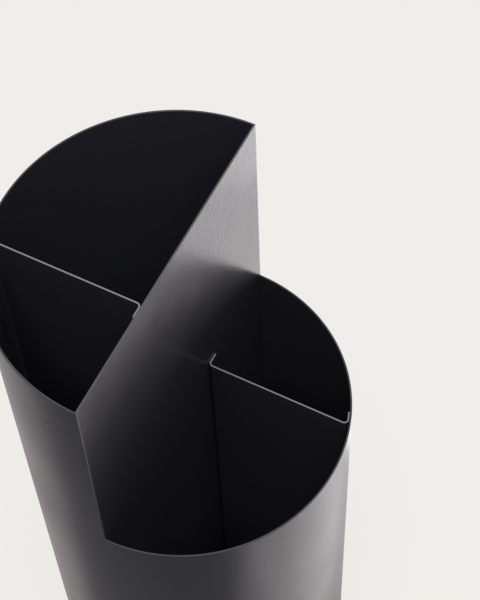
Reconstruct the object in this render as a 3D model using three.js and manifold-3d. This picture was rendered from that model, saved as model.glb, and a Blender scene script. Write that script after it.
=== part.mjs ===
// Cylindrical umbrella stand in powder-coated sheet steel. Millimetres, +Z up.
//
// A rolled wall rises full height behind a flat divider plate (+Y) and stops lower in front (-Y).
// A bent partition splits each half, a pan closes the bottom, and four pads keep it off the floor.
// The origin is on the floor, below the middle of the base, and the divider plate lies along X.
import * as THREE from 'three';
import { mergeVertices } from 'three/addons/utils/BufferGeometryUtils.js';
import Module from 'manifold-3d';

const wasm = await Module();
wasm.setup();

// Driving dimensions
const OUTER_RADIUS = 110;
const TALL_TOP = 550;
const LOW_TOP = 379;
const SHEET = 1.2; // thickness of every steel piece
const SEAM_GAP = 0.3; // left between two sheets that are welded together

const PARTITION_OFFSET = 32; // from the centre line to the middle of a partition's web
const PARTITION_DROP = 0.5; // a partition stops this far below its rim
const FLANGE_LENGTH = 8.6; // bent edge of a partition, from the web's middle line
const BEND_RADIUS = 2.6; // of a partition's bends, on the sheet's middle line

const WALL_LIFT = 2; // of the wall's lower edge off the floor
const PAN_UNDERSIDE = 4;
const PAN_DEPTH = 12; // height of the pan, its upturned edge included
const PAN_BEND_RADIUS = 2.4; // outside radius between the pan's floor and its edge

const FOOT_RADIUS = 11;
const FOOT_CIRCLE_RADIUS = 82;
const FOOT_CHAMFER = 0.8;
const FOOT_COUNT = 4;

const ROUND_SEGMENTS = 96;
const FOOT_SEGMENTS = 32;
const BEND_SEGMENTS = 5;
const CHORD_ALLOWANCE = 0.1; // a straight flange against the round wall bows this far off it
const CUT_MARGIN = 10; // how far a cutting block reaches past what it cuts

// Sizes that follow from them
const INNER_RADIUS = OUTER_RADIUS - SHEET;
const PAN_RADIUS = INNER_RADIUS - SEAM_GAP;
const PAN_FLOOR = PAN_UNDERSIDE + SHEET;
const PAN_TOP = PAN_UNDERSIDE + PAN_DEPTH;
const SHEET_BOTTOM = PAN_FLOOR + SEAM_GAP;
const FOOT_TOP = PAN_UNDERSIDE - SEAM_GAP;

const powderCoat = new THREE.MeshStandardMaterial({ color: 0x1b1b1d, roughness: 0.42, metalness: 0 });
const footRubber = new THREE.MeshStandardMaterial({ color: 0x101010, roughness: 0.9, metalness: 0 });

// ---- solids: joining and cutting -------------------------------------------------------------

function solidFrom(geometry) {
  const bare = geometry.clone();
  bare.deleteAttribute('normal');
  bare.deleteAttribute('uv');
  const welded = mergeVertices(bare);
  return new wasm.Manifold(new wasm.Mesh({
    numProp: 3,
    vertProperties: Float32Array.from(welded.attributes.position.array),
    triVerts: Uint32Array.from(welded.index.array),
  }));
}

function geometryFrom(solid) {
  const { vertProperties, triVerts } = solid.getMesh();
  const geometry = new THREE.BufferGeometry();
  geometry.setAttribute('position', new THREE.BufferAttribute(vertProperties, 3));
  geometry.setIndex(new THREE.BufferAttribute(triVerts, 1));
  geometry.computeVertexNormals();
  return geometry;
}

// ---- basic shapes ----------------------------------------------------------------------------

// A body of revolution about Z. The profile is a list of [radius, height] points.
function turned(profile, segments) {
  const points = profile.map(([radius, height]) => new THREE.Vector2(radius, height));
  return new THREE.LatheGeometry(points, segments).rotateX(Math.PI / 2);
}

function ring(innerRadius, outerRadius, bottom, top) {
  const profile = [
    [innerRadius, bottom],
    [outerRadius, bottom],
    [outerRadius, top],
    [innerRadius, top],
    [innerRadius, bottom],
  ];
  return turned(profile, ROUND_SEGMENTS);
}

function box(low, high) {
  const size = high.map((value, axis) => value - low[axis]);
  const middle = high.map((value, axis) => (value + low[axis]) / 2);
  return new THREE.BoxGeometry(...size).translate(...middle);
}

// Points on an arc, both ends included.
function arc(centre, radius, startAngle, endAngle, segments) {
  const points = [];
  for (let i = 0; i <= segments; i += 1) {
    const angle = startAngle + ((endAngle - startAngle) * i) / segments;
    points.push([centre[0] + radius * Math.cos(angle), centre[1] + radius * Math.sin(angle)]);
  }
  return points;
}

// The outline of a strip of sheet bent along a path. Each inner corner of the path becomes a
// bend whose middle line has BEND_RADIUS.
function bentStripShape(path) {
  const corners = path.map(([x, y]) => new THREE.Vector2(x, y));
  const left = [];
  const right = [];

  const addStation = (point, direction) => {
    const side = new THREE.Vector2(-direction.y, direction.x).multiplyScalar(SHEET / 2);
    left.push(point.clone().add(side));
    right.push(point.clone().sub(side));
  };

  const directionTo = (index) => corners[index].clone().sub(corners[index - 1]).normalize();

  addStation(corners[0], directionTo(1));
  for (let i = 1; i < corners.length - 1; i += 1) {
    const before = directionTo(i);
    const after = directionTo(i + 1);
    const turn = Math.atan2(before.cross(after), before.dot(after));
    const setback = BEND_RADIUS * Math.tan(Math.abs(turn) / 2);
    const start = corners[i].clone().addScaledVector(before, -setback);
    const leftwards = new THREE.Vector2(-before.y, before.x);
    const centre = start.clone().addScaledVector(leftwards, BEND_RADIUS * Math.sign(turn));
    for (let step = 0; step <= BEND_SEGMENTS; step += 1) {
      const angle = (turn * step) / BEND_SEGMENTS;
      const point = start.clone().rotateAround(centre, angle);
      const direction = before.clone().rotateAround(new THREE.Vector2(), angle);
      addStation(point, direction);
    }
  }
  addStation(corners.at(-1), directionTo(corners.length - 1));
  return new THREE.Shape([...right, ...left.reverse()]);
}

// ---- the pieces ------------------------------------------------------------------------------

// The rolled wall: a full tube whose front half is cut down to the low rim. The cut runs down
// the front face of the divider plate, so plate and wall edges finish flush.
function outerWallGeometry() {
  const tube = solidFrom(ring(INNER_RADIUS, OUTER_RADIUS, WALL_LIFT, TALL_TOP));
  const beyond = OUTER_RADIUS + CUT_MARGIN;
  const low = [-beyond, -beyond, LOW_TOP];
  const high = [beyond, -SHEET / 2, TALL_TOP + CUT_MARGIN];
  return geometryFrom(tube.subtract(solidFrom(box(low, high))));
}

// Room for the pan's upturned edge, taken out of every sheet that stands in the pan.
function panEdgeRelief() {
  const innerRadius = PAN_RADIUS - SHEET - SEAM_GAP;
  const corner = [innerRadius - PAN_BEND_RADIUS, SHEET_BOTTOM + PAN_BEND_RADIUS];
  const profile = [
    ...arc(corner, PAN_BEND_RADIUS, -Math.PI / 2, 0, BEND_SEGMENTS),
    [innerRadius, PAN_TOP + SEAM_GAP],
    [OUTER_RADIUS, PAN_TOP + SEAM_GAP],
    [OUTER_RADIUS, 0],
    [corner[0], 0],
    [corner[0], corner[1] - PAN_BEND_RADIUS],
  ];
  return solidFrom(turned(profile.reverse(), ROUND_SEGMENTS));
}

function dividerPlateGeometry() {
  const halfWidth = INNER_RADIUS - SEAM_GAP;
  const plate = box([-halfWidth, -SHEET / 2, SHEET_BOTTOM], [halfWidth, SHEET / 2, TALL_TOP]);
  return geometryFrom(solidFrom(plate).subtract(panEdgeRelief()));
}

// A partition of the front half: a web from the divider plate to the wall, with one edge bent
// along the plate and the other along the wall.
function partitionGeometry(top) {
  const plateSide = -(SHEET + SEAM_GAP);
  const wallSideRadius = INNER_RADIUS - SEAM_GAP - CHORD_ALLOWANCE - SHEET / 2;
  const webAngle = -Math.acos(PARTITION_OFFSET / wallSideRadius);
  const flangeAngle = webAngle + FLANGE_LENGTH / wallSideRadius;
  const onWall = (angle) => [wallSideRadius * Math.cos(angle), wallSideRadius * Math.sin(angle)];
  const path = [
    [PARTITION_OFFSET + FLANGE_LENGTH, plateSide],
    [PARTITION_OFFSET, plateSide],
    onWall(webAngle),
    onWall(flangeAngle),
  ];
  const depth = top - PARTITION_DROP - SHEET_BOTTOM;
  const strip = new THREE.ExtrudeGeometry(bentStripShape(path), { depth, bevelEnabled: false });
  strip.translate(0, 0, SHEET_BOTTOM);
  return geometryFrom(solidFrom(strip).subtract(panEdgeRelief()));
}

// The bottom: a shallow pressed pan that catches drips, its edge welded inside the wall.
function basePanGeometry() {
  const bendCentre = [PAN_RADIUS - PAN_BEND_RADIUS, PAN_UNDERSIDE + PAN_BEND_RADIUS];
  const outside = arc(bendCentre, PAN_BEND_RADIUS, -Math.PI / 2, 0, BEND_SEGMENTS);
  const inside = arc(bendCentre, PAN_BEND_RADIUS - SHEET, 0, -Math.PI / 2, BEND_SEGMENTS);
  const profile = [
    [0, PAN_UNDERSIDE],
    ...outside,
    [PAN_RADIUS, PAN_TOP],
    [PAN_RADIUS - SHEET, PAN_TOP],
    ...inside,
    [0, PAN_FLOOR],
  ];
  return turned(profile, ROUND_SEGMENTS);
}

function footGeometry() {
  const profile = [
    [0, 0],
    [FOOT_RADIUS - FOOT_CHAMFER, 0],
    [FOOT_RADIUS, FOOT_CHAMFER],
    [FOOT_RADIUS, FOOT_TOP],
    [0, FOOT_TOP],
  ];
  return turned(profile, FOOT_SEGMENTS);
}

// ---- the assembly ----------------------------------------------------------------------------

function named(name, geometry, material) {
  const mesh = new THREE.Mesh(geometry, material);
  mesh.name = name;
  return mesh;
}

const stand = new THREE.Group();
stand.add(named('outer_wall', outerWallGeometry(), powderCoat));
stand.add(named('divider_plate', dividerPlateGeometry(), powderCoat));
stand.add(named('low_partition', partitionGeometry(LOW_TOP), powderCoat));

// The tall half's partition is the same bent strip, turned half round behind the plate.
const tallPartition = named('tall_partition', partitionGeometry(TALL_TOP), powderCoat);
tallPartition.rotation.z = Math.PI;
stand.add(tallPartition);

stand.add(named('base_pan', basePanGeometry(), powderCoat));

for (let i = 0; i < FOOT_COUNT; i += 1) {
  const angle = ((i + 0.5) / FOOT_COUNT) * 2 * Math.PI;
  const foot = named(`foot_pad_${i + 1}`, footGeometry(), footRubber);
  foot.position.set(FOOT_CIRCLE_RADIUS * Math.cos(angle), FOOT_CIRCLE_RADIUS * Math.sin(angle), 0);
  stand.add(foot);
}

export default stand;
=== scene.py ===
"""A black powder-coated umbrella stand: fine sheet-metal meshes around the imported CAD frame."""
import math

import bmesh
import bpy
from mathutils import Matrix, Vector


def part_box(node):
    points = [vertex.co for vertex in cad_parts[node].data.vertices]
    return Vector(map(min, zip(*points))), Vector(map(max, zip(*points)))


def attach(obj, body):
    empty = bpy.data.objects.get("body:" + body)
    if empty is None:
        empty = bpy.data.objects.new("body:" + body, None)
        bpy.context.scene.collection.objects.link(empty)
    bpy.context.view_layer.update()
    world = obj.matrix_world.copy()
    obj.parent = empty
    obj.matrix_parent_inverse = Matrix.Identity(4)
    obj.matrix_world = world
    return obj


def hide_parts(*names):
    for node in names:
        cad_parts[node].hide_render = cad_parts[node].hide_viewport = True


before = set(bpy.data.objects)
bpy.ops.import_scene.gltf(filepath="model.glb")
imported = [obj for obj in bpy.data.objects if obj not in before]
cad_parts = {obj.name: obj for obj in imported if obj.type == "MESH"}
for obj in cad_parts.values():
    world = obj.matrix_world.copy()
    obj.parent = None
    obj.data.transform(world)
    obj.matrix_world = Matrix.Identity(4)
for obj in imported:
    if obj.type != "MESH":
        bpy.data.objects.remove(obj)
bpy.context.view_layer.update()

MM = 0.001

# ---- sizes read from the frame -----------------------------------------------------------------

wall_low, wall_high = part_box("outer_wall")
plate_low, plate_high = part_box("divider_plate")
partition_low, partition_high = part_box("low_partition")
pan_low, pan_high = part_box("base_pan")

SHEET = plate_high.y - plate_low.y
OUTER_RADIUS = wall_high.x
INNER_RADIUS = OUTER_RADIUS - SHEET
MID_RADIUS = OUTER_RADIUS - SHEET / 2
TALL_TOP = wall_high.z
LOW_TOP = max(v.co.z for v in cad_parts["outer_wall"].data.vertices if v.co.y < -SHEET)
WALL_BOTTOM = wall_low.z
PARTITION_DROP = LOW_TOP - partition_high.z
PARTITION_OFFSET = partition_low.x + SHEET / 2
PAN_UNDERSIDE = pan_low.z
PAN_FLOOR = PAN_UNDERSIDE + SHEET
PAN_TOP = pan_high.z

# ---- sizes of the finished detail --------------------------------------------------------------

RIM_ROUNDING = 0.22 * MM  # of the wall's and the plate's edges
PARTITION_ROUNDING = 0.52 * MM  # the partitions' edges are almost fully round
EDGE_SEGMENTS = 4
SMALLEST_EDGE = 0.001 * MM  # the bevel's corners leave shorter ones, which are merged
SUPPORT = 0.9 * MM  # a loop this far inside each edge keeps the flat faces flat
FLANGE_LENGTH = 8.6 * MM
BEND_RADIUS = 2.6 * MM
BEND_STEPS = 12
WELD_OVERLAP = 0.05 * MM  # the plate runs this far into the wall, so no gap shows
JOINT_GAP = 0.06 * MM  # between a partition's flange and the sheet that it is welded to
ROUND_ALLOWANCE = 0.1 * MM  # and so much more at the round wall
HALF_COLUMNS = 144  # of the wall's mesh, in each half of the circle
SHARP_ANGLE = math.radians(50)
SAME_PLACE = 0.001 * MM
TACK = Vector((1.3, 1.0, 1.0)) * MM  # half the length, width and height of a weld tack
PAN_RADIUS = INNER_RADIUS - 0.05 * MM
PAN_EDGE_RADIUS = 2.4 * MM
PAN_SEGMENTS = 192
NOTCH_REACH = PAN_RADIUS - SHEET - 0.3 * MM  # standing sheets are cut away beyond this
NOTCH_TOP = PAN_TOP + 0.3 * MM  # and up to this height, to clear the pan's upturned edge
FOOT_ROUNDING = 0.9 * MM
FOOT_HOLLOW = 0.5 * MM
FOOT_SEGMENTS = 48

# ---- colours of the coat and of its painted edge highlights ------------------------------------

COAT_DARKEST = (0.0115, 0.0117, 0.0152, 1)
COAT_PALEST = (0.0175, 0.0178, 0.0228, 1)
# painted highlights: the edges that face up are painted paler for the light they catch, most on
# the partitions
WALL_TOP_HIGHLIGHT = (0.028, 0.028, 0.031, 1)
PLATE_TOP_HIGHLIGHT = (0.038, 0.038, 0.042, 1)
PARTITION_TOP_HIGHLIGHT = (0.10, 0.10, 0.11, 1)
# painted highlight line on the wall's upright cut edges that face forward
UPRIGHT_EDGE_HIGHLIGHT = (0.050, 0.049, 0.052, 1)


# ---- mesh helpers ------------------------------------------------------------------------------

def link_piece(name, bm, material, *nodes):
    """Turns a bmesh into a shown piece that rides on the stand and replaces CAD nodes."""
    bmesh.ops.recalc_face_normals(bm, faces=bm.faces)
    for edge in bm.edges:
        edge.smooth = edge.calc_face_angle(0.0) < SHARP_ANGLE
    mesh = bpy.data.meshes.new(name)
    bm.to_mesh(mesh)
    bm.free()
    for polygon in mesh.polygons:
        polygon.use_smooth = True
    mesh.materials.append(material)
    piece = bpy.data.objects.new(name, mesh)
    bpy.context.scene.collection.objects.link(piece)
    weighted = piece.modifiers.new("flat faces stay flat", "WEIGHTED_NORMAL")
    weighted.mode = "FACE_AREA"
    weighted.weight = 50
    weighted.keep_sharp = True
    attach(piece, "root")
    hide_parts(*nodes)
    return piece


def sheet_bmesh(stations, levels, exists, rounding, closed=False, sharp=lambda a, b: False):
    """A sheet that follows stations in plan and levels in height, with rounded edges.

    stations are (point, normal) pairs on the sheet's middle line, exists(column, row) says
    which cells of the sheet are there, and sharp(a, b) names edges that stay square.
    """
    bm = bmesh.new()
    corners = {}
    columns = len(stations) if closed else len(stations) - 1
    rows = len(levels) - 1

    def corner(side, column, row):
        key = (side, column % len(stations), row)
        if key not in corners:
            point, normal = stations[key[1]]
            place = point + normal * (side * SHEET / 2)
            corners[key] = bm.verts.new((place.x, place.y, levels[row]))
        return corners[key]

    def there(column, row):
        if closed:
            column %= columns
        return 0 <= column < columns and 0 <= row < rows and exists(column, row)

    rim = []
    for column in range(columns):
        for row in range(rows):
            if not there(column, row):
                continue
            quad = [(column, row), (column + 1, row), (column + 1, row + 1), (column, row + 1)]
            bm.faces.new([corner(1, *c) for c in quad])
            bm.faces.new([corner(-1, *c) for c in reversed(quad)])
            beyond = [(column, row - 1), (column + 1, row), (column, row + 1), (column - 1, row)]
            for k, neighbour in enumerate(beyond):
                if there(*neighbour):
                    continue
                a, b = quad[k], quad[(k + 1) % 4]
                bm.faces.new([corner(-1, *a), corner(-1, *b), corner(1, *b), corner(1, *a)])
                rim.extend((corner(side, *a), corner(side, *b)) for side in (1, -1))

    bm.edges.ensure_lookup_table()
    rounded = []
    for a, b in rim:
        edge = bm.edges.get((a, b))
        if edge and not sharp(a.co, b.co):
            rounded.append(edge)
    # the bevel runs in millimetres, because in metres it makes offsets this small zero
    bmesh.ops.scale(bm, vec=(1 / MM,) * 3, verts=bm.verts)
    bmesh.ops.bevel(
        bm, geom=rounded, offset=rounding / MM, offset_type="OFFSET", segments=EDGE_SEGMENTS,
        profile=0.5, affect="EDGES", clamp_overlap=True,
    )
    bmesh.ops.dissolve_degenerate(bm, dist=SMALLEST_EDGE / MM, edges=bm.edges)
    bmesh.ops.scale(bm, vec=(MM,) * 3, verts=bm.verts)
    return bm


def supported(low, high, *between):
    """Heights or places from low to high with a support loop beside each end."""
    return sorted({low, low + SUPPORT, *between, high - SUPPORT, high})


def bent_stations(path):
    """Stations along a path of straight stretches, each corner an arc of BEND_RADIUS."""
    stations = []

    def add(point, direction):
        stations.append((point, Vector((-direction.y, direction.x))))

    directions = [(b - a).normalized() for a, b in zip(path, path[1:])]
    add(path[0], directions[0])
    add(path[0] + directions[0] * SUPPORT, directions[0])
    for point, before, after in zip(path[1:-1], directions, directions[1:]):
        turn = before.angle_signed(after) * -1
        setback = BEND_RADIUS * math.tan(abs(turn) / 2)
        start = point - before * setback
        centre = start + Vector((-before.y, before.x)) * math.copysign(BEND_RADIUS, turn)
        add(start - before * SUPPORT, before)
        for step in range(BEND_STEPS + 1):
            rotation = Matrix.Rotation(turn * step / BEND_STEPS, 2)
            add(centre + rotation @ (start - centre), rotation @ before)
        end_turn = Matrix.Rotation(turn, 2)
        add(centre + end_turn @ (start - centre) + after * SUPPORT, after)
    add(path[-1] - directions[-1] * SUPPORT, directions[-1])
    add(path[-1], directions[-1])
    return stations


def lathe_bmesh(profile, segments, centre=(0.0, 0.0)):
    """A body of revolution about Z from (radius, height) points that start and end on the axis."""
    bm = bmesh.new()
    rings = []
    for radius, height in profile:
        if radius < 1e-9:
            rings.append([bm.verts.new((centre[0], centre[1], height))])
            continue
        ring = []
        for k in range(segments):
            angle = 2 * math.pi * k / segments
            x = centre[0] + radius * math.cos(angle)
            y = centre[1] + radius * math.sin(angle)
            ring.append(bm.verts.new((x, y, height)))
        rings.append(ring)
    for lower, upper in zip(rings, rings[1:]):
        for k in range(segments):
            after = (k + 1) % segments
            corners = [lower[k % len(lower)], lower[after % len(lower)],
                       upper[after % len(upper)], upper[k % len(upper)]]
            unique = list(dict.fromkeys(corners))
            if len(unique) > 2:
                bm.faces.new(unique)
    return bm


def arc(centre, radius, start, end, steps):
    """Points on an arc in a profile, both ends included; angles in degrees."""
    points = []
    for k in range(steps + 1):
        angle = math.radians(start + (end - start) * k / steps)
        points.append((centre[0] + radius * math.cos(angle), centre[1] + radius * math.sin(angle)))
    return points


# ---- materials ---------------------------------------------------------------------------------

def powder_coat(name, top_highlight):
    """Matt black powder coat: a fine grain, a soft orange-peel wave and faint handling marks.

    The edges that face up are painted paler, a painted highlight for the light they catch,
    and the wall's upright cut edges that face forward get a painted highlight line as well.
    """
    material = bpy.data.materials.new(name)
    material.use_nodes = True
    nodes, links = material.node_tree.nodes, material.node_tree.links
    shader = nodes["Principled BSDF"]
    shader.inputs["Metallic"].default_value = 0.0
    shader.inputs["IOR"].default_value = 1.18
    shader.inputs["Specular IOR Level"].default_value = 0.5
    shader.inputs["Specular Tint"].default_value = (1.0, 0.90, 0.96, 1)
    place = nodes.new("ShaderNodeTexCoord")

    def noise(scale, detail, roughness=0.5):
        node = nodes.new("ShaderNodeTexNoise")
        node.inputs["Scale"].default_value = scale
        node.inputs["Detail"].default_value = detail
        node.inputs["Roughness"].default_value = roughness
        links.new(place.outputs["Object"], node.inputs["Vector"])
        return node.outputs["Fac"]

    def math_node(operation, first, second=0.0):
        node = nodes.new("ShaderNodeMath")
        node.operation = operation
        for socket, value in zip(node.inputs, (first, second)):
            if isinstance(value, float):
                socket.default_value = value
            else:
                links.new(value, socket)
        return node.outputs["Value"]

    def tinted(under, factor, colour):
        node = nodes.new("ShaderNodeMix")
        node.data_type = "RGBA"
        node.inputs["B"].default_value = colour
        links.new(factor, node.inputs["Factor"])
        links.new(under, node.inputs["A"])
        return node.outputs["Result"]

    def bump(height, strength, distance):
        node = nodes.new("ShaderNodeBump")
        node.inputs["Strength"].default_value = strength
        node.inputs["Distance"].default_value = distance
        links.new(height, node.inputs["Height"])
        return node

    grain = noise(1500.0, 2.0)
    peel = noise(480.0, 2.0, 0.5)
    handling = noise(9.0, 4.0, 0.6)

    tint = nodes.new("ShaderNodeValToRGB")
    tint.color_ramp.elements[0].position = 0.3
    tint.color_ramp.elements[0].color = COAT_DARKEST
    tint.color_ramp.elements[1].position = 0.75
    tint.color_ramp.elements[1].color = COAT_PALEST
    links.new(grain, tint.inputs["Fac"])

    surface = nodes.new("ShaderNodeNewGeometry")
    facing = nodes.new("ShaderNodeSeparateXYZ")
    links.new(surface.outputs["True Normal"], facing.inputs["Vector"])
    upward = nodes.new("ShaderNodeMapRange")
    upward.interpolation_type = "SMOOTHSTEP"
    upward.inputs["From Min"].default_value = 0.75
    upward.inputs["From Max"].default_value = 0.97
    links.new(facing.outputs["Z"], upward.inputs["Value"])
    where = nodes.new("ShaderNodeSeparateXYZ")
    links.new(place.outputs["Object"], where.inputs["Vector"])
    # painted highlight: faces that face up near the rims are mixed towards the paler top-highlight
    # colour
    above_pan = math_node("GREATER_THAN", where.outputs["Z"], LOW_TOP - 2 * SUPPORT)
    rim = math_node("MULTIPLY", upward.outputs["Result"], above_pan)
    # painted highlight line: the wall's upright cut edges that face forward are mixed towards a
    # paler colour
    forward = math_node("LESS_THAN", facing.outputs["Y"], -0.8)
    aside = math_node("ABSOLUTE", where.outputs["X"])
    in_wall = math_node("GREATER_THAN", aside, INNER_RADIUS)
    upright = math_node("MULTIPLY", forward, in_wall)
    colour = tinted(tint.outputs["Color"], rim, top_highlight)
    colour = tinted(colour, upright, UPRIGHT_EDGE_HIGHLIGHT)
    links.new(colour, shader.inputs["Base Color"])

    gloss = nodes.new("ShaderNodeMapRange")
    gloss.inputs["From Min"].default_value = 0.3
    gloss.inputs["From Max"].default_value = 0.7
    gloss.inputs["To Min"].default_value = 0.22
    gloss.inputs["To Max"].default_value = 0.285
    links.new(handling, gloss.inputs["Value"])
    links.new(gloss.outputs["Result"], shader.inputs["Roughness"])

    peel_bump = bump(peel, 1.0, 0.13 * MM)
    grain_bump = bump(grain, 0.5, 0.02 * MM)
    links.new(peel_bump.outputs["Normal"], grain_bump.inputs["Normal"])
    links.new(grain_bump.outputs["Normal"], shader.inputs["Normal"])
    return material


def foot_rubber():
    """Moulded black rubber with a fine matt grain."""
    material = bpy.data.materials.new("foot_rubber")
    material.use_nodes = True
    nodes, links = material.node_tree.nodes, material.node_tree.links
    shader = nodes["Principled BSDF"]
    shader.inputs["Specular IOR Level"].default_value = 0.4
    place = nodes.new("ShaderNodeTexCoord")
    grain = nodes.new("ShaderNodeTexNoise")
    grain.inputs["Scale"].default_value = 1500.0
    grain.inputs["Detail"].default_value = 3.0
    links.new(place.outputs["Object"], grain.inputs["Vector"])
    tint = nodes.new("ShaderNodeValToRGB")
    tint.color_ramp.elements[0].color = (0.010, 0.010, 0.010, 1)
    tint.color_ramp.elements[1].color = (0.030, 0.030, 0.029, 1)
    links.new(grain.outputs["Fac"], tint.inputs["Fac"])
    links.new(tint.outputs["Color"], shader.inputs["Base Color"])
    rough = nodes.new("ShaderNodeMapRange")
    rough.inputs["To Min"].default_value = 0.65
    rough.inputs["To Max"].default_value = 0.9
    links.new(grain.outputs["Fac"], rough.inputs["Value"])
    links.new(rough.outputs["Result"], shader.inputs["Roughness"])
    bump = nodes.new("ShaderNodeBump")
    bump.inputs["Strength"].default_value = 0.4
    bump.inputs["Distance"].default_value = 0.1 * MM
    links.new(grain.outputs["Fac"], bump.inputs["Height"])
    links.new(bump.outputs["Normal"], shader.inputs["Normal"])
    return material


# ---- the pieces --------------------------------------------------------------------------------

def pan_notch(reach, level):
    """True where a standing sheet is cut away to clear the pan's upturned edge."""
    return level < NOTCH_TOP and reach > NOTCH_REACH


def outer_wall(material):
    """One rolled sheet; the columns behind the plate are tall and those in front of it low."""
    cut_angle = math.asin(-SHEET / 2 / MID_RADIUS)
    angles = [cut_angle + (math.pi - 2 * cut_angle) * k / HALF_COLUMNS
              for k in range(HALF_COLUMNS + 1)]
    angles += [math.pi - cut_angle + (math.pi + 2 * cut_angle) * k / HALF_COLUMNS
               for k in range(1, HALF_COLUMNS)]
    stations = []
    for angle in angles:
        normal = Vector((math.cos(angle), math.sin(angle)))
        stations.append((normal * MID_RADIUS, normal))
    levels = sorted({
        *supported(WALL_BOTTOM, TALL_TOP, WALL_BOTTOM + (LOW_TOP - WALL_BOTTOM) / 3,
                   WALL_BOTTOM + (LOW_TOP - WALL_BOTTOM) * 2 / 3, (LOW_TOP + TALL_TOP) / 2),
        LOW_TOP - SUPPORT, LOW_TOP, LOW_TOP + SUPPORT,
    })
    low_rows = levels.index(LOW_TOP)

    def exists(column, row):
        return column < HALF_COLUMNS or row < low_rows

    def welded(a, b):
        upright = abs(a.x - b.x) < SAME_PLACE and abs(a.y - b.y) < SAME_PLACE
        return upright and math.hypot(a.x, a.y) < MID_RADIUS

    bm = sheet_bmesh(stations, levels, exists, RIM_ROUNDING, closed=True, sharp=welded)
    for vertex in bm.verts:
        reach = math.hypot(vertex.co.x, vertex.co.y)
        if reach > OUTER_RADIUS:
            vertex.co.xy *= OUTER_RADIUS / reach
    piece = link_piece("outer_wall_finished", bm, material, "outer_wall")


def divider_plate(material):
    """The full-height plate across the diameter, notched at its lower corners for the pan."""
    half = math.sqrt(INNER_RADIUS ** 2 - (SHEET / 2) ** 2) + WELD_OVERLAP
    places = sorted({*supported(-half, half, -half / 2, 0.0, half / 2), -NOTCH_REACH, NOTCH_REACH})
    between = (LOW_TOP / 2, LOW_TOP, (LOW_TOP + TALL_TOP) / 2)
    levels = sorted({*supported(PAN_FLOOR, TALL_TOP, *between), NOTCH_TOP})
    stations = [(Vector((x, 0.0)), Vector((0.0, -1.0))) for x in places]

    def exists(column, row):
        middle = abs(places[column] + places[column + 1]) / 2
        return not pan_notch(middle, levels[row])

    def welded(a, b):
        return abs(a.x - b.x) < SAME_PLACE and abs(abs(a.x) - half) < SAME_PLACE

    bm = sheet_bmesh(stations, levels, exists, RIM_ROUNDING, sharp=welded)
    piece = link_piece("divider_plate_finished", bm, material, "divider_plate")


def partition_path():
    """Middle line of a partition: flange on the plate, web, flange on the wall."""
    plate_side = -(SHEET + JOINT_GAP)
    radius = INNER_RADIUS - JOINT_GAP - ROUND_ALLOWANCE - SHEET / 2
    web_angle = -math.acos(PARTITION_OFFSET / radius)
    end_angle = web_angle + FLANGE_LENGTH / radius
    return [
        Vector((PARTITION_OFFSET + FLANGE_LENGTH, plate_side)),
        Vector((PARTITION_OFFSET, plate_side)),
        Vector((math.cos(web_angle), math.sin(web_angle))) * radius,
        Vector((math.cos(end_angle), math.sin(end_angle))) * radius,
    ]


def tack(bm, point, normal, top):
    """A small weld bead at the free end of a partition's flange, at its top."""
    along = Vector((normal.y, -normal.x))
    axes = Matrix((
        (along.x * TACK.x, normal.x * TACK.y, 0),
        (along.y * TACK.x, normal.y * TACK.y, 0),
        (0, 0, TACK.z),
    )).to_4x4()
    place = Matrix.Translation((point.x, point.y, top - TACK.z))
    bmesh.ops.create_icosphere(bm, subdivisions=3, radius=1.0, matrix=place @ axes)


def partition(name, node, rim, half_turn, material):
    """A bent partition that ends just below its rim; half_turn puts it in the tall half."""
    top = rim - PARTITION_DROP
    turn = Matrix.Rotation(math.pi if half_turn else 0.0, 2)
    stations = [(turn @ point, turn @ normal) for point, normal in bent_stations(partition_path())]
    levels = sorted({*supported(PAN_FLOOR, top, (PAN_FLOOR + top) / 2), NOTCH_TOP})

    def exists(column, row):
        middle = (stations[column][0] + stations[column + 1][0]).length / 2
        return not pan_notch(middle, levels[row])

    bm = sheet_bmesh(stations, levels, exists, PARTITION_ROUNDING)
    for point, normal in (stations[0], stations[-1]):
        tack(bm, point, normal, top)
    piece = link_piece(name, bm, material, node)


def base_pan(material):
    """A dished disc with a rounded, upturned edge."""
    centre = (PAN_RADIUS - PAN_EDGE_RADIUS, PAN_UNDERSIDE + PAN_EDGE_RADIUS)
    lip = SHEET / 2
    profile = [
        (0.0, PAN_UNDERSIDE),
        (PAN_RADIUS / 2, PAN_UNDERSIDE),
        (centre[0] - SUPPORT, PAN_UNDERSIDE),
        *arc(centre, PAN_EDGE_RADIUS, -90, 0, 8),
        *arc((PAN_RADIUS - lip, PAN_TOP - lip), lip, 0, 180, 8),
        *arc(centre, PAN_EDGE_RADIUS - SHEET, 0, -90, 8),
        (centre[0] - SUPPORT, PAN_FLOOR),
        (PAN_RADIUS / 2, PAN_FLOOR),
        (0.0, PAN_FLOOR),
    ]
    bm = lathe_bmesh(profile, PAN_SEGMENTS)
    piece = link_piece("base_pan_finished", bm, material, "base_pan")


def foot_pad(number, material):
    """A round pad with a soft lower edge and a shallow hollow in its sole."""
    low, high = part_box(f"foot_pad_{number}")
    radius = (high.x - low.x) / 2
    centre = ((low.x + high.x) / 2, (low.y + high.y) / 2)
    hollow = radius * 0.55
    below, above = FOOT_ROUNDING, FOOT_ROUNDING / 2
    profile = [
        (0.0, low.z + FOOT_HOLLOW),
        (hollow - FOOT_HOLLOW, low.z + FOOT_HOLLOW),
        (hollow, low.z),
        (radius - below * 1.5, low.z),
        *arc((radius - below, low.z + below), below, -90, 0, 6),
        *arc((radius - above, PAN_UNDERSIDE - above), above, 0, 90, 4),
        (0.0, PAN_UNDERSIDE),
    ]
    bm = lathe_bmesh(profile, FOOT_SEGMENTS, centre)
    piece = link_piece(f"foot_pad_{number}_finished", bm, material, f"foot_pad_{number}")


# ---- the set -----------------------------------------------------------------------------------

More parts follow.
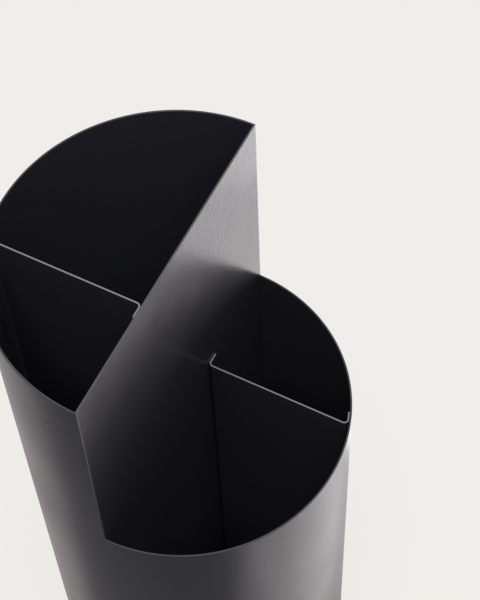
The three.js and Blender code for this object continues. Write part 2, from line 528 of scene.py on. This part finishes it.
CAMERA_PLACE = Vector((-0.4573, -0.3031, 1.0227))  # from the middle of the low rim
CAMERA_AZIMUTH = -60.60  # degrees, 0 looks along +Y
CAMERA_ELEVATION = 58.64
CAMERA_ROLL = -2.97
CAMERA_LENS = 105.4
PALE = (0.871, 0.863, 0.831, 1)
FLOOR_RADIUS = 30.0
FLOOR_ALBEDO = 0.05
FLOOR_GLOW = 0.905
WORLD_STRENGTH = 0.35
OVERHEAD = Vector((-0.164, -0.116, 0.979))  # direction from the low rim to the softbox
OVERHEAD_DISTANCE = 2.2
OVERHEAD_SIZE = (1.5, 1.5)
OVERHEAD_POWER = 116.0
FLOOR_RIGHT = Vector((0.491, -0.871, 0))  # along the floor, towards the picture's right
FLOOR_NEAR = Vector((-0.871, -0.491, 0))  # along the floor, towards the camera
CARD_TINT = (1.0, 0.935, 0.965)
CARD_SPREAD = math.radians(150)  # keeps glare off the wall's sides in low views
CARD_LIFT = Vector((0, 0, 2 * MM))
FLAG_LIFT = Vector((0, 0, 1 * MM))
CARDS = (  # name, place across and towards the camera, side, power
    ("card_right", 0.70, 0.0, 0.55, 16.5),
    ("card_back", 0.50, -0.50, 0.55, 2.0),
    ("card_near_right", 0.29, 0.03, 0.24, 0.17),
    ("card_near_back", 0.24, -0.24, 0.24, 0.26),
    ("card_near_front", 0.20, 0.16, 0.20, 0.09),
)
# painted shade: dim cards on the floor that only reflections see, standing in for the floor's
# shade near the stand
FLAGS = (  # name, colour, glow, corners across and towards the camera
    ("flag_near", (0.871, 0.825, 0.855, 1), 0.36,
     ((-0.60, 0.0), (0.13, 0.10), (0.13, 0.80), (-0.60, 0.80))),
    ("flag_left", (0.871, 0.80, 0.80, 1), 0.88,
     ((-0.60, -0.50), (-0.12, -0.50), (-0.12, 0.06), (-0.60, -0.005))),
)


def camera():
    azimuth, elevation = math.radians(CAMERA_AZIMUTH), math.radians(CAMERA_ELEVATION)
    back = Vector((
        math.sin(azimuth) * math.cos(elevation),
        -math.cos(azimuth) * math.cos(elevation),
        math.sin(elevation),
    ))
    right = Vector((0, 0, 1)).cross(back).normalized()
    up = back.cross(right)
    basis = Matrix((right, up, back)).transposed()
    basis = basis @ Matrix.Rotation(math.radians(CAMERA_ROLL), 3, "Z")
    data = bpy.data.cameras.new("camera")
    data.lens = CAMERA_LENS
    data.sensor_width = 36.0
    data.clip_start = 0.01
    data.clip_end = 100.0
    holder = bpy.data.objects.new("camera", data)
    place = CAMERA_PLACE + Vector((0, 0, LOW_TOP))
    holder.matrix_world = Matrix.Translation(place) @ basis.to_4x4()
    bpy.context.scene.collection.objects.link(holder)
    bpy.context.scene.camera = holder


def pale_material():
    """A light table: most of its paleness is its own glow, so shadows on it stay faint."""
    material = bpy.data.materials.new("pale_floor")
    material.use_nodes = True
    nodes, links = material.node_tree.nodes, material.node_tree.links
    shader = nodes["Principled BSDF"]
    shader.inputs["Base Color"].default_value = [FLOOR_ALBEDO * part for part in PALE[:3]] + [1]
    shader.inputs["Emission Color"].default_value = PALE
    shader.inputs["Emission Strength"].default_value = FLOOR_GLOW
    shader.inputs["Roughness"].default_value = 1.0
    shader.inputs["Specular IOR Level"].default_value = 0.0
    return material


def floor():
    bm = bmesh.new()
    bmesh.ops.create_circle(bm, cap_ends=True, segments=128, radius=FLOOR_RADIUS)
    mesh = bpy.data.meshes.new("floor")
    bm.to_mesh(mesh)
    bm.free()
    mesh.materials.append(pale_material())
    piece = bpy.data.objects.new("floor", mesh)
    bpy.context.scene.collection.objects.link(piece)


def softbox(name, place, target, size, power):
    """A rectangular lamp that the camera doesn't see."""
    data = bpy.data.lights.new(name, "AREA")
    data.shape = "RECTANGLE"
    data.size, data.size_y = size
    data.energy = power
    lamp = bpy.data.objects.new(name, data)
    lamp.location = place
    lamp.rotation_mode = "QUATERNION"
    lamp.rotation_quaternion = (Vector(target) - Vector(place)).to_track_quat("-Z", "Y")
    lamp.visible_camera = False
    bpy.context.scene.collection.objects.link(lamp)
    return data


def floor_card(name, across, towards, side, power):
    """A bright card lying on the floor, placed in metres as the camera sees the floor."""
    place = FLOOR_RIGHT * across + FLOOR_NEAR * towards + CARD_LIFT
    data = softbox(name, place, place + Vector((0, 0, 1)), (side, side), power)
    data.color = CARD_TINT
    data.spread = CARD_SPREAD


def flag(name, tint, glow, corners):
    """A dim or tinted card on the floor, painted shade seen only in reflection: it changes only
    what the wall and plate mirror, standing in for the floor's shade in front of and left of the
    stand.
    """
    bm = bmesh.new()
    bm.faces.new([
        bm.verts.new(FLOOR_RIGHT * across + FLOOR_NEAR * towards + FLAG_LIFT)
        for across, towards in corners
    ])
    mesh = bpy.data.meshes.new(name)
    bm.to_mesh(mesh)
    bm.free()
    material = bpy.data.materials.new(name)
    material.use_nodes = True
    shader = material.node_tree.nodes["Principled BSDF"]
    shader.inputs["Base Color"].default_value = (0.02, 0.02, 0.02, 1)
    shader.inputs["Specular IOR Level"].default_value = 0.0
    shader.inputs["Emission Color"].default_value = tint
    shader.inputs["Emission Strength"].default_value = glow
    mesh.materials.append(material)
    piece = bpy.data.objects.new(name, mesh)
    bpy.context.scene.collection.objects.link(piece)
    piece.visible_camera = False
    piece.visible_diffuse = False
    piece.visible_shadow = False


def lighting():
    world = bpy.data.worlds.new("studio")
    world.use_nodes = True
    background = world.node_tree.nodes["Background"]
    background.inputs["Color"].default_value = (1.0, 1.0, 1.0, 1)
    background.inputs["Strength"].default_value = WORLD_STRENGTH
    bpy.context.scene.world = world
    bpy.context.scene.view_settings.view_transform = "Standard"
    rim = Vector((0, 0, LOW_TOP))
    softbox("overhead", rim + OVERHEAD * OVERHEAD_DISTANCE, rim, OVERHEAD_SIZE, OVERHEAD_POWER)
    for card in CARDS:
        floor_card(*card)
    for dim in FLAGS:
        flag(*dim)


# ---- build -------------------------------------------------------------------------------------

camera()
lighting()
floor()

# the three coats differ only in how bright the painted highlight on their top edges is
coat = powder_coat("powder_coat_wall", WALL_TOP_HIGHLIGHT)
plate_coat = powder_coat("powder_coat_plate", PLATE_TOP_HIGHLIGHT)
partition_coat = powder_coat("powder_coat_partition", PARTITION_TOP_HIGHLIGHT)
rubber = foot_rubber()
outer_wall(coat)
divider_plate(plate_coat)
partition("low_partition_finished", "low_partition", LOW_TOP, False, partition_coat)
partition("tall_partition_finished", "tall_partition", TALL_TOP, True, partition_coat)
base_pan(coat)
for number in (1, 2, 3, 4):
    foot_pad(number, rubber)
